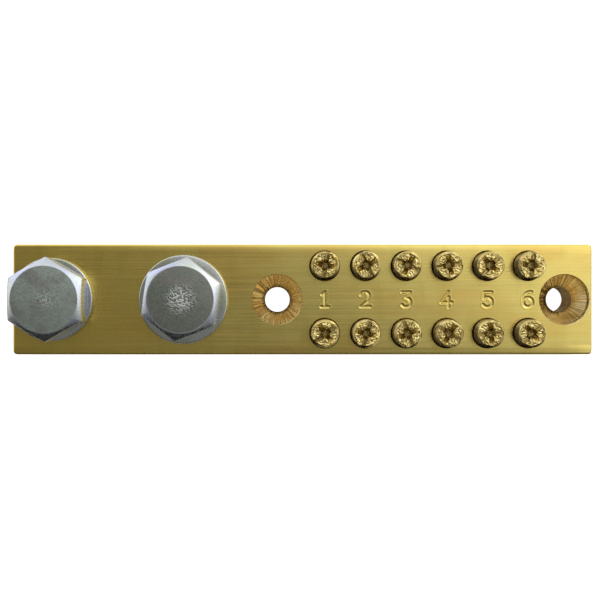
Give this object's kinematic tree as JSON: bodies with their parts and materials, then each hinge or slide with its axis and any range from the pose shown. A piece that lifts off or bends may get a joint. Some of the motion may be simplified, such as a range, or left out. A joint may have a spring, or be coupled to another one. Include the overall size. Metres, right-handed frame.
{
  "type": "earth terminal bar",
  "caption": "Flat brass earth bar with hex-head main bolts at one end, numbered cable ways under paired clamp screws, and countersunk fixing holes.",
  "frame": {"origin": "centre of the bar's flat back face", "axes": "+X along the bar from the main bolts to the numbered ways, +Y towards the rear row of clamp screws, +Z out of the top face"},
  "size_m": [0.1053, 0.02, 0.0169],
  "materials": {
    "bar_brass": "drawn brass with fine lengthwise lines, lightly tarnished",
    "screw_brass": "bright turned brass",
    "bolt_zinc": "zinc-plated steel, dull on top and bright on the chamfers",
    "washer_zinc": "bright zinc-plated steel"
  },
  "bodies": {
    "root": {"bar": "bar_brass", "bolt_left": "bolt_zinc", "bolt_right": "bolt_zinc", "washer_left": "washer_zinc", "washer_right": "washer_zinc", "clamp_screw_front_1": "screw_brass", "clamp_screw_front_2": "screw_brass", "clamp_screw_front_3": "screw_brass", "clamp_screw_front_4": "screw_brass", "clamp_screw_front_5": "screw_brass", "clamp_screw_front_6": "screw_brass", "clamp_screw_rear_1": "screw_brass", "clamp_screw_rear_2": "screw_brass", "clamp_screw_rear_3": "screw_brass", "clamp_screw_rear_4": "screw_brass", "clamp_screw_rear_5": "screw_brass", "clamp_screw_rear_6": "screw_brass"}
  },
  "joints": []
}
